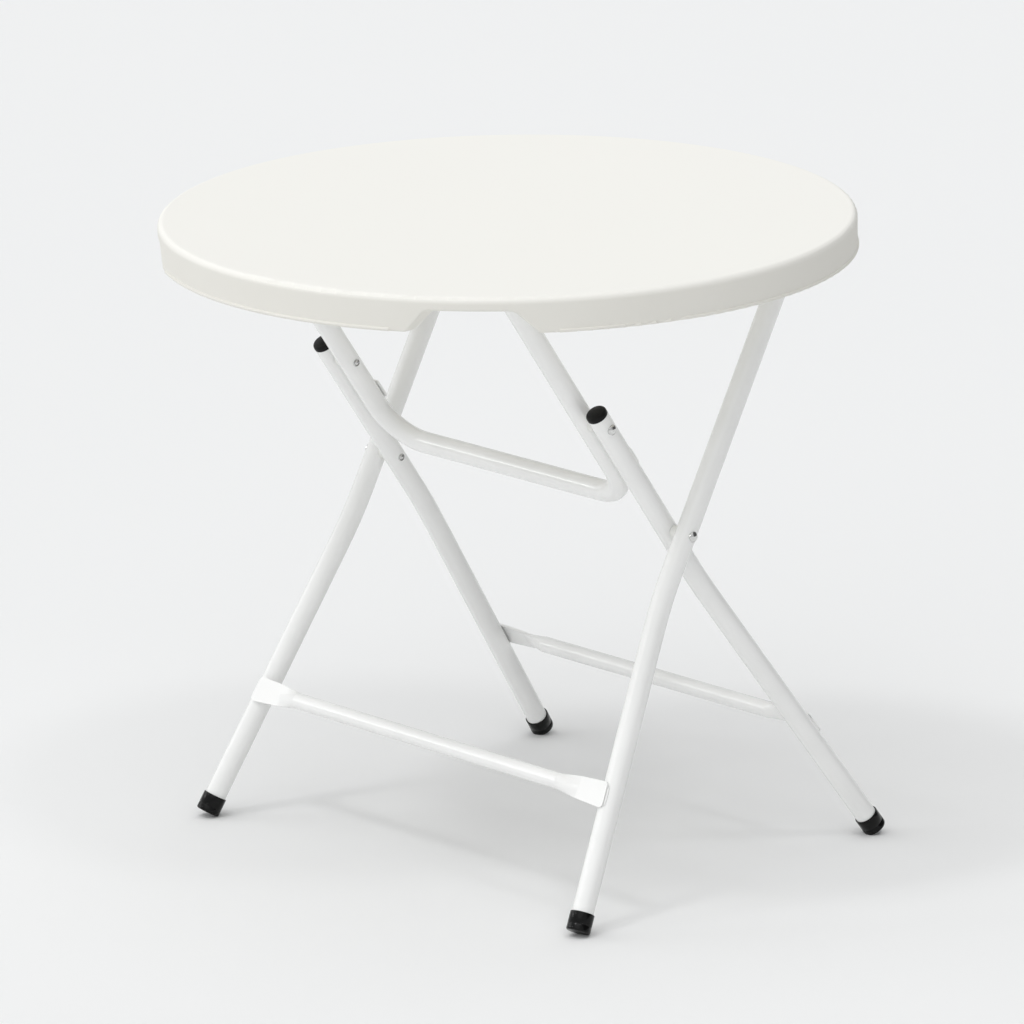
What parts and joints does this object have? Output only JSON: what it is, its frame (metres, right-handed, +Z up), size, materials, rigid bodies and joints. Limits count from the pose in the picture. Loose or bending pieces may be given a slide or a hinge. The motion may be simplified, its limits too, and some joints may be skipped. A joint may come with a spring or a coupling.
{
  "type": "folding garden table",
  "caption": "Round white folding garden table: moulded plastic top on crossed white steel tube legs that fold flat under it through two notches in the rim.",
  "frame": {"origin": "on the floor, under the centre of the round top, with the table open and standing", "axes": "+Z up; X along the pivots, stretchers and latch bar; +Y from the outer frame's feet towards the inner frame's feet, so the rim notches are on the -Y side"},
  "size_m": [0.8031, 0.8031, 0.748],
  "materials": {
    "top_plastic": "satin blow-moulded polyethylene, smooth on top",
    "white_frame": "gloss white powder coat on steel tube",
    "foot_caps": "black moulded cap, slightly glossy",
    "end_plugs": "black moulded plug",
    "washers": "natural white nylon",
    "steel_rivets": "bright zinc-plated steel",
    "clamp_plastic": "white moulded plastic",
    "zinc_screws": "zinc-plated steel"
  },
  "bodies": {
    "top": {"tabletop": "top_plastic", "rear_clamp_left": "clamp_plastic", "rear_clamp_left_screw_1": "zinc_screws", "rear_clamp_left_screw_2": "zinc_screws", "rear_clamp_right": "clamp_plastic", "rear_clamp_right_screw_1": "zinc_screws", "rear_clamp_right_screw_2": "zinc_screws", "front_clamp_left": "clamp_plastic", "front_clamp_left_screw_1": "zinc_screws", "front_clamp_left_screw_2": "zinc_screws", "front_clamp_right": "clamp_plastic", "front_clamp_right_screw_1": "zinc_screws", "front_clamp_right_screw_2": "zinc_screws"},
    "outer_frame": {"outer_stretcher": "white_frame", "rear_pivot_tube": "white_frame", "outer_leg_left": "white_frame", "outer_foot_cap_left": "foot_caps", "outer_leg_plug_left": "end_plugs", "cross_rivet_left": "steel_rivets", "cross_washer_left": "washers", "outer_leg_right": "white_frame", "outer_foot_cap_right": "foot_caps", "outer_leg_plug_right": "end_plugs", "cross_rivet_right": "steel_rivets", "cross_washer_right": "washers"},
    "latch_frame": {"latch_bar": "white_frame", "front_pivot_tube": "white_frame", "stop_tab_left": "white_frame", "latch_bar_plug_left": "end_plugs", "latch_washer_left": "washers", "stop_tab_right": "white_frame", "latch_bar_plug_right": "end_plugs", "latch_washer_right": "washers"},
    "inner_frame": {"inner_stretcher": "white_frame", "inner_leg_left": "white_frame", "inner_foot_cap_left": "foot_caps", "inner_leg_plug_left": "end_plugs", "cross_rivet_tail_left": "steel_rivets", "latch_rivet_left": "steel_rivets", "inner_leg_right": "white_frame", "inner_foot_cap_right": "foot_caps", "inner_leg_plug_right": "end_plugs", "cross_rivet_tail_right": "steel_rivets", "latch_rivet_right": "steel_rivets"}
  },
  "joints": [
    {"name": "latch_fold", "type": "hinge", "parent": "top", "child": "latch_frame", "pos_m": [0, -0.17975, 0.712], "axis": [1, 0, 0], "range_deg": [0, 55.63]},
    {"name": "outer_fold", "type": "hinge", "parent": "top", "child": "outer_frame", "pos_m": [0, 0.19375, 0.712], "axis": [-1, 0, 0], "range_deg": [0, 60.71]},
    {"name": "inner_fold", "type": "hinge", "parent": "latch_frame", "child": "inner_frame", "pos_m": [0, -0.06881, 0.54981], "axis": [-1, 0, 0], "range_deg": [0, 179.9]}
  ],
  "couplings": [
    {"joint": "outer_fold", "follows": "latch_fold", "ratio": 1.0914},
    {"joint": "inner_fold", "follows": "latch_fold", "ratio": 3.234}
  ]
}
